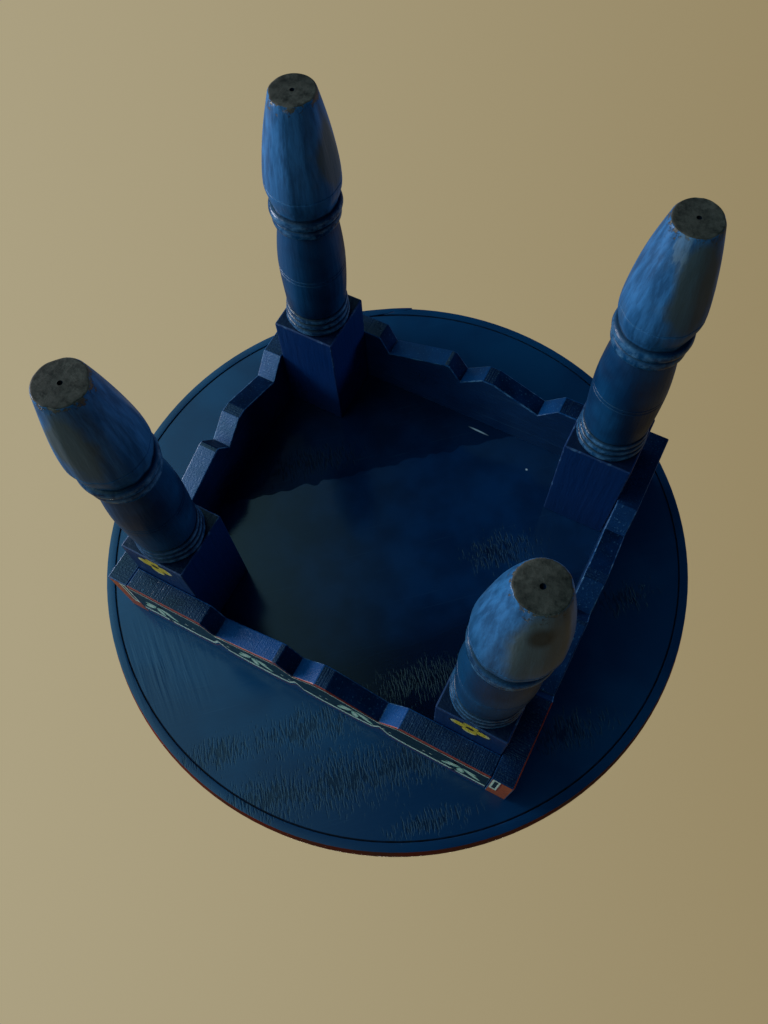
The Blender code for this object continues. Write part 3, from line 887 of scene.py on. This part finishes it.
def cut_lines(profile):
    """The profile with the turner's cut lines scribed into it."""
    for line in CUT_LINES:
        after = next(i for i, point in enumerate(profile) if point[0] > line + CUT_LINE_WIDTH)
        before = after - 1
        while profile[before][0] > line - CUT_LINE_WIDTH:
            before -= 1
        (low, low_radius), (high, high_radius) = profile[before], profile[after]
        slope = (high_radius - low_radius) / (high - low)
        groove = []
        for shift, depth in CUT_LINE_SECTION:
            height = line + shift * CUT_LINE_WIDTH
            groove.append((height, low_radius + slope * (height - low) - depth * CUT_LINE_DEPTH))
        profile = profile[:before + 1] + groove + profile[after:]
    return profile


def turned_profile(foot):
    """The turned part from the foot's flat end up into the block, as (height, radius) points."""
    edge = (0.0012, foot)
    belly = (0.0680, 0.0263)
    neck = (0.0845, 0.0222)
    vase_low = (0.1030, 0.0211)
    vase = (0.1470, 0.0254)
    vase_high = (0.1915, 0.0237)
    profile = [(0, foot - 0.0016), (0.0004, foot - 0.0006), edge]
    profile += swelling(edge, belly, power=1.45, steps=30, widest_first=False) + [belly]
    profile += swelling(belly, neck, power=1.6, steps=12, widest_first=True)
    profile += bead(*BEADS[0]) + bead(*BEADS[1]) + [vase_low]
    profile += swelling(vase_low, vase, power=1.7, steps=20, widest_first=False) + [vase]
    profile += swelling(vase, vase_high, power=2.0, steps=20, widest_first=True)
    profile += bead(*BEADS[2]) + bead(*BEADS[3]) + bead(*BEADS[4])
    profile += [(SHOULDER, TENON_RADIUS), (SHOULDER + TENON_LENGTH, TENON_RADIUS)]
    return cut_lines(profile)


def turn_spindle(corner, x, y):
    """The turned part: rings drawn out of the foot, then the lathe's hole; returns it and its foot."""
    drift_x, drift_y, foot_radius = FEET[corner]
    foot = Vector((x + drift_x, y + drift_y, 0))
    clear_selection()
    bpy.ops.mesh.primitive_circle_add(vertices=TURNING_SIDES, radius=LATHE_HOLE, location=foot)
    apply_place()
    edit("SELECT")
    radius = LATHE_HOLE
    middle = foot
    for next_height, next_radius in turned_profile(foot_radius):
        share = max(0, 1 - next_height / SHOULDER)
        next_middle = Vector((x + drift_x * share, y + drift_y * share, next_height))
        bpy.ops.mesh.extrude_edges_move(TRANSFORM_OT_translate={"value": next_middle - middle})
        grow = next_radius / radius
        bpy.ops.transform.resize(value=(grow, grow, 1), center_override=next_middle)
        radius, middle = next_radius, next_middle
    bpy.ops.mesh.edge_face_add()
    choose_points(lambda co: (co - foot).length < LATHE_HOLE * 1.1)
    bpy.ops.mesh.extrude_edges_move(TRANSFORM_OT_translate={"value": (0, 0, LATHE_HOLE_DEPTH)})
    bpy.ops.mesh.merge(type="CENTER")
    face_outwards()
    leave_edit()
    return bpy.context.object, foot


def turn_leg(corner, finishes):
    """A square block with an eased edge, joined to the turned leg under it."""
    side = -1 if "left" in corner else 1
    depth = -1 if "front" in corner else 1
    x = side * LEG_X
    y = FRAME_SETBACK + depth * LEG_Y
    turning, foot = turn_spindle(corner, x, y)
    clear_selection()
    length = LEG_TOP - SHOULDER
    block_size = (BLOCK_SIZE, BLOCK_SIZE, length)
    bpy.ops.mesh.primitive_cube_add(size=1, location=(x, y, SHOULDER + length / 2), scale=block_size)
    apply_place()
    leg = bpy.context.object
    edit("SELECT")
    bpy.ops.mesh.bevel(offset=BLOCK_EDGE, segments=2)
    leave_edit()
    join = leg.modifiers.new("turning", "BOOLEAN")
    join.operation = "UNION"
    join.solver = "EXACT"
    join.object = turning
    bpy.ops.object.modifier_apply(modifier=join.name)
    bpy.data.objects.remove(turning)
    leg.data.materials.clear()
    give_finishes(finishes)
    edit()
    paint_faces(LEG_SKIN, lambda centre, normal: True)
    paint_faces(FOOT_END, lambda centre, normal: centre.z < 0.0002 and normal.z < -0.5)
    paint_faces(LATHE_MARK, lambda centre, normal: 0.0002 < centre.z < LATHE_HOLE_DEPTH
                and (Vector((centre.x, centre.y, 0)) - foot).length < LATHE_HOLE)
    paint_faces(BLOCK_FACE, lambda centre, normal: normal.y * depth > FACING and centre.z > SHOULDER)
    paint_faces(BLOCK_ARRIS, lambda centre, normal: centre.z > SHOULDER - 0.0001
                and max(abs(part) for part in normal) < 0.97)
    leave_edit()
    wobble_turning(leg.data, foot)
    return finish_piece("leg_" + corner + "_turned", "leg_" + corner)


def wobble_turning(mesh, foot):
    """Leaves the turning a little out of round, as a hand lathe does, and knocks the foot's rim about."""
    for point in mesh.vertices:
        if point.co.z > SHOULDER - 0.001:
            continue
        out = point.co - Vector((foot.x, foot.y, point.co.z))
        if out.length < LATHE_HOLE * 1.5:
            continue
        across = point.co * WOBBLES_ACROSS
        swell = noise.noise((across.x, across.y, point.co.z * WOBBLES_ALONG)) * WOBBLE
        if point.co.z < BEADS[0][0]:
            flats = math.cos(FLAT_COUNT * math.atan2(out.y, out.x)) * FLATS
            swell += flats * min(1, point.co.z / FLATS_FULL_FROM)
        if point.co.z < FOOT_RIM:
            across = point.co * KNOCKS_ACROSS
            knock = noise.noise((across.x, across.y, 0)) - 0.1
            swell -= max(0, knock) * FOOT_KNOCKS
        point.co += out.normalized() * swell


# Aprons

def saw_board(name, middle, along, outward, red_reach, finishes):
    """A board cut across at each turn of its lower edge, the notches lifted, every edge eased.

    The red of the painted face runs over the lower edge up to red_reach along the board. Of the saw cuts,
    the level stretches have a finish of their own, and so have the sides that look along the board; both
    take darker paint as painted shade.
    """
    size = Vector([abs(a) * APRON_LENGTH + abs(o) * APRON_THICKNESS for a, o in zip(along, outward)])
    size.z = APRON_HEIGHT
    clear_selection()
    bpy.ops.mesh.primitive_cube_add(size=1, location=middle + UP * APRON_HEIGHT / 2, scale=size)
    apply_place()
    board = bpy.context.object
    give_finishes(finishes)
    edit()
    for cut, _ in SAW_CUTS:
        bpy.ops.mesh.select_all(action="SELECT")
        bpy.ops.mesh.bisect(plane_co=middle + along * cut, plane_no=along)
    for cut, lift in SAW_CUTS:
        if lift:
            choose_points(lambda co: abs((co - middle).dot(along) - cut) < NEAR
                          and co.z < APRON_BOTTOM + 0.001)
            bpy.ops.transform.translate(value=(0, 0, lift))
    ease_edges(BOARD_EDGE, BOARD_ARRIS)

    def sawn(normal, down):
        """Whether a face is on the sawn edge, not on its eased rims, and looks down at least so much."""
        return normal.z < -down and abs(normal.dot(outward)) < 0.05

    paint_faces(SAW_CUT, lambda centre, normal: normal.z < -0.85 or sawn(normal, 0.3))
    # The level stretches and the sides that look along the board take darker paint: painted shade.
    paint_faces(LOWER_EDGE, lambda centre, normal: sawn(normal, 0.99))
    paint_faces(SHADED_CUT, lambda centre, normal: sawn(normal, 0.3) and normal.dot(along) > 0.2)
    paint_faces(PAINTED_FACE, lambda centre, normal: normal.dot(outward) > FACING
                or normal.z < -0.1 and normal.dot(outward) > 0.3
                and (centre - middle).dot(along) < red_reach)
    paint_faces(BOARD_END, lambda centre, normal: abs(normal.dot(along)) > FACING
                and abs((centre - middle).dot(along)) > BOARD_END_FROM)
    leave_edit()
    map_board(board.data, middle, along)
    return finish_piece(name + "_board", name)


def map_board(mesh, middle, along):
    """A map of the board in metres: along it from its middle, and up from its lower edge."""
    flat = mesh.uv_layers.get("board") or mesh.uv_layers.new(name="board")
    mesh.uv_layers.active = flat
    for loop in mesh.loops:
        place = mesh.vertices[loop.vertex_index].co
        flat.data[loop.index].uv = ((place - middle).dot(along), place.z - APRON_BOTTOM)


def saw_aprons(end_finishes, left_finishes, right_finishes):
    """Two boards between, and two that run through to the corners; red runs over the edges that show it."""
    middle = Vector((0, FRAME_SETBACK, APRON_BOTTOM))
    saw_board("apron_front", middle - BACK * END_APRON_Y, -RIGHT, -BACK, HALF_FRAME, end_finishes)
    saw_board("apron_back", middle + BACK * END_APRON_Y, -RIGHT, BACK, -HALF_FRAME, end_finishes)
    saw_board("apron_left", middle - RIGHT * SIDE_APRON_X, BACK, -RIGHT, LEFT_RED_REACH, left_finishes)
    saw_board("apron_right", middle + RIGHT * SIDE_APRON_X, BACK, RIGHT, -HALF_FRAME, right_finishes)


# Top

def round_panel(finishes):
    """The round panel: a disc drawn up to its thickness, its edges eased, one part of the well dull and in
    painted shade.
    """
    clear_selection()
    low = UP * PANEL_BOTTOM
    bpy.ops.mesh.primitive_circle_add(vertices=PANEL_SIDES, radius=PANEL_RADIUS, fill_type="NGON",
                                      location=low)
    apply_place()
    give_finishes(finishes)
    edit("SELECT")
    bpy.ops.mesh.extrude_region_move(TRANSFORM_OT_translate={"value": (0, 0, PANEL_TOP - PANEL_BOTTOM)})
    face_outwards()
    ease_edges(PANEL_EDGE, PANEL_GROOVE)
    paint_faces(UPPER_FACE, lambda centre, normal: normal.z > FACING)
    across = Vector((math.sin(PATCH_TURN), -math.cos(PATCH_TURN), 0))
    right = low + RIGHT * SIDE_APRON_X
    back = low + BACK * (FRAME_SETBACK + END_APRON_Y)
    for edge, way in ((right, RIGHT), (back, BACK), (across * DULL_SHADED_LINE, across)):
        choose_faces(lambda centre, normal: normal.z < -FACING)
        bpy.ops.mesh.bisect(plane_co=edge, plane_no=way)
    bpy.ops.mesh.subdivide(number_cuts=DULL_STEPS)
    paint_faces(DULL_SHADED_CORNER, lambda centre, normal: normal.z < -FACING and centre.dot(across) > DULL_SHADED_LINE
                and centre.x < right.x and centre.y < back.y)
    leave_edit()
    for point in bpy.context.object.data.vertices:
        below = point.co.z < PANEL_BOTTOM + 0.0001
        inside = point.co.x < right.x - 0.001 and point.co.y < back.y - 0.001
        if below and inside and abs(point.co.dot(across) - DULL_SHADED_LINE) < NEAR:
            point.co += across * noise.noise(point.co * DULL_RAGS) * DULL_RAGGED
    return finish_piece("top_panel_disc", "top_panel")


def hoop_stations():
    """Places round the hoop, as (angle, step out, thickness): thin start, the round, lapped end."""
    lap = LAP_LENGTH / TOP_RADIUS
    start = LAP_ANGLE - lap
    stations = []
    for step in range(LAP_STEPS + 1):
        share = step / LAP_STEPS
        stations.append((start + lap * share, 0, max(LAP_START, HOOP_THICKNESS * share)))
    turn = 2 * math.pi - lap
    for step in range(1, HOOP_STEPS):
        stations.append((LAP_ANGLE + turn * step / HOOP_STEPS, 0, HOOP_THICKNESS))
    for step in range(1, LAP_STEPS + 1):
        share = step / LAP_STEPS
        thickness = HOOP_THICKNESS * (1 - share) + LAP_TIP * share
        stations.append((start + 2 * math.pi + lap * share, LAP_GAP + HOOP_THICKNESS * share, thickness))
    return stations


def bend_hoop(finishes):
    """The hoop: a strip's section carried round the panel, from one station to the next."""
    inner = TOP_RADIUS - HOOP_THICKNESS
    height = HOOP_TOP - HOOP_BOTTOM
    middle_z = (HOOP_TOP + HOOP_BOTTOM) / 2
    stations = hoop_stations()
    angle, offset, thickness = stations[0]
    clear_selection()
    upright = (math.pi / 2, 0, 0)
    bpy.ops.mesh.primitive_plane_add(size=1, location=(inner + 0.5, 0, middle_z), rotation=upright)
    apply_place()
    give_finishes(finishes)
    edit("SELECT")
    bpy.ops.transform.resize(value=(thickness, 1, height), center_override=(inner, 0, middle_z))
    bpy.ops.mesh.bevel(offset=min(HOOP_EDGE, thickness / 3), segments=2, affect="VERTICES")
    bpy.ops.mesh.select_all(action="SELECT")
    bpy.ops.mesh.bisect(plane_co=(0, 0, middle_z), plane_no=UP)
    bpy.ops.mesh.select_all(action="SELECT")
    turn_section(0, angle)
    for next_angle, next_offset, next_thickness in stations[1:]:
        bpy.ops.mesh.extrude_region()
        turn_section(angle, next_angle)
        outward = Vector((math.cos(next_angle), math.sin(next_angle), 0))
        edge = outward * (inner + offset) + UP * middle_z
        grow = next_thickness / thickness
        bpy.ops.transform.resize(value=(grow, grow, 1), center_override=edge)
        bpy.ops.transform.translate(value=outward * (next_offset - offset))
        angle, offset, thickness = next_angle, next_offset, next_thickness
    face_outwards()
    paint_faces(HOOP_OUTSIDE,
                lambda centre, normal: normal.dot(Vector((centre.x, centre.y, 0)).normalized()) > 0.3)
    choose_points(lambda co: co.z < middle_z - 0.001 and math.hypot(co.x, co.y) > TOP_RADIUS - 0.004)
    drawn_in = 1 - HOOP_FLARE / TOP_RADIUS
    bpy.ops.transform.resize(value=(drawn_in, drawn_in, 1), center_override=(0, 0, 0))
    leave_edit()
    return finish_piece("rim_hoop_bent", "rim_hoop")


def turn_section(angle, next_angle):
    """Carries the selection round the table's axis; run in the background, the turn is the other way."""
    bpy.ops.transform.rotate(value=angle - next_angle, orient_axis="Z", center_override=(0, 0, 0))


# Studio

def lay_floor():
    """A paper floor seen only from above, fading out round the table; it takes no part in the light."""
    clear_selection()
    bpy.ops.mesh.primitive_circle_add(vertices=96, radius=FLOOR_RADIUS, fill_type="NGON", location=(0, 0, 0))
    floor = bpy.context.object
    floor.name = "floor"
    finish, add, place = new_finish("floor_paper")
    tree = finish.node_tree
    shader = tree.nodes["Principled BSDF"]
    shader.inputs["Base Color"].default_value = FLOOR_PAPER
    shader.inputs["Roughness"].default_value = 0.9
    clear = add("BsdfTransparent")
    below = add("NewGeometry", out="Backfacing")
    reach = add("VectorMath", [place], out=1, operation="LENGTH")
    faded = add("MapRange", [reach, *FLOOR_FADE, 0, 1], interpolation_type="SMOOTHSTEP")
    faded = add("Math", [below, faded], operation="MAXIMUM")
    one_sided = add("MixShader", [faded, shader.outputs[0], clear])
    tree.links.new(one_sided, tree.nodes["Material Output"].inputs["Surface"])
    floor.data.materials.append(finish)
    floor.visible_shadow = False
    floor.visible_diffuse = False
    floor.visible_glossy = False
    floor.visible_transmission = False


def light_room():
    """The room's glow, brightest low on the window's side; the camera sees plain paper instead."""
    world = bpy.data.worlds.new("studio")
    bpy.context.scene.world = world
    world.use_nodes = True
    tree = world.node_tree
    add = partial(add_node, tree)
    direction = add("TexCoord", out="Generated")
    toward = add("VectorMath", [direction, WINDOW_SIDE], out=1, operation="DOT_PRODUCT")
    height = add("SeparateXYZ", [direction], out=2)
    glow = add("MapRange", [toward, 0.0, 0.90, 0, 1.65])
    lift = add("MapRange", [height, -0.90, 0, 1.15, 0.35])
    glow = add("Math", [glow, lift], operation="MULTIPLY")
    room = add("Mix", {0: glow, 6: ROOM_SHADE, 7: ROOM_LIGHT}, clamp_factor=False, **COLOUR_MIX)
    paper = lay_over(add, PAPER_SHADE, PAPER_LIGHT, toward, -0.42, 0.42)
    seen = add("LightPath")
    bounce = add("Mix", {0: BOUNCE_LOSS, 6: paper, 7: BLACK}, **COLOUR_MIX)
    colour = lay_over(add, room, bounce, height, -0.03, 0.03)
    colour = add("Mix", {0: seen, 6: colour, 7: paper}, **COLOUR_MIX)
    tree.links.new(colour, tree.nodes["Background"].inputs["Color"])


def build_studio():
    lay_floor()
    light_room()
    for name, (place, size, power, colour, mirrored) in LAMPS.items():
        add_light(name, place, size, power, srgb(colour), mirrored)
    bpy.context.scene.view_settings.view_transform = "Standard"


def put_in_scene(name, data, place, turn):
    item = bpy.data.objects.new(name, data)
    item.location = place
    item.rotation_euler = turn
    bpy.context.scene.collection.objects.link(item)
    return item


def add_light(name, place, size, power, colour, mirrored):
    """A square lamp turned to the table; one that is not mirrored leaves no shine on the gloss paint."""
    lamp = bpy.data.lights.new(name, "AREA")
    lamp.size = size
    lamp.energy = power
    lamp.color = colour[:3]
    turn = (LAMPS_AIM - Vector(place)).to_track_quat("-Z", "Y").to_euler()
    item = put_in_scene(name, lamp, place, turn)
    item.visible_camera = False
    item.visible_glossy = mirrored


def build_camera():
    """The table is seen from under its feet, as when it lies turned over on its top."""
    lens = bpy.data.cameras.new("camera")
    lens.lens = CAMERA_LENS
    lens.sensor_width = CAMERA_SENSOR
    lens.clip_start = 0.01
    turn = [math.radians(degrees) for degrees in CAMERA_TURN]
    bpy.context.scene.camera = put_in_scene("camera", lens, CAMERA_PLACE, turn)


def build_table():
    """Mixes the finishes and makes each piece in them; the nails keep their meshes and are painted."""
    blue = panel_paint("panel_blue_oil_paint", PANEL_BLUE, PANEL_SHADE, sheen=0.66)
    # The well's dull part: lower sheen, and darker paint as painted shade.
    dull = panel_paint("panel_dull_shaded_oil_paint", PANEL_SHADE, SHADOW_BLUE, sheen=0.08)
    board = board_paint()
    edge = worn_edge("board_worn_edge_paint", BOARD_BLUE, rub=0.45)
    block_edge = worn_edge("block_worn_edge_paint", BLOCK_BLUE, rub=0.55)
    face = apron_face_paint()
    sawn = sawn_paint("saw_cut_blue_paint", SAWN_BLUE, BOARD_BLUE)
    worn_cut = sawn_paint("saw_cut_worn_paint", SAWN_BLUE, BOARD_BLUE, sheen=0.65, rub=0.5)
    # The board on the far side from the window lamp gets darker saw cuts: painted shade.
    far_board_cut_shade = sawn_paint("saw_cut_shaded_board_paint", BOARD_SIDE, BOARD_SHADE)
    # Darker paint on the sides of the cuts turned from the window lamp: painted shade.
    cut_shade_paint = sawn_paint("saw_cut_painted_shade", BOARD_SHADE, SHADOW_BLUE, sheen=0.06, rub=0.25)
    # Darker paint on the level stretches of the sawn edges: painted shade.
    lower_edge = sawn_paint(
        "lower_edge_shaded_paint", BOARD_SHADE, SHADOW_BLUE, sheen=0.52, rub=0.3, smooth=0.16
    )
    red = hoop_red_paint()
    # The panel's groove and the lathe holes take painted shade
    recess_shade = groove_shade_paint()
    round_panel([blue, top_face_paint(), recess_shade, dull])
    bend_hoop([blue, red])
    end_finishes = [board, edge, face, board, sawn, lower_edge, cut_shade_paint]
    board_end = board_end_paint()
    left_finishes = [board, edge, face, board_end, far_board_cut_shade, lower_edge, cut_shade_paint]
    right_finishes = [board, edge, face, board_end, worn_cut, lower_edge, cut_shade_paint]
    saw_aprons(end_finishes, left_finishes, right_finishes)
    leg_finishes = [leg_paint(), foot_wood(), flower_paint(), block_edge, recess_shade]
    for corner in FEET:
        turn_leg(corner, leg_finishes)
    blue_nail = nail_paint("nail_under_blue_paint", BOARD_BLUE)
    red_nail = nail_paint("brad_under_red_paint", BRICK_RED)
    for name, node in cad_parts.items():
        if "nail" in name or "brad" in name:
            node.data.materials.clear()
            node.data.materials.append(red_nail if "brad" in name else blue_nail)


build_table()
build_studio()
build_camera()
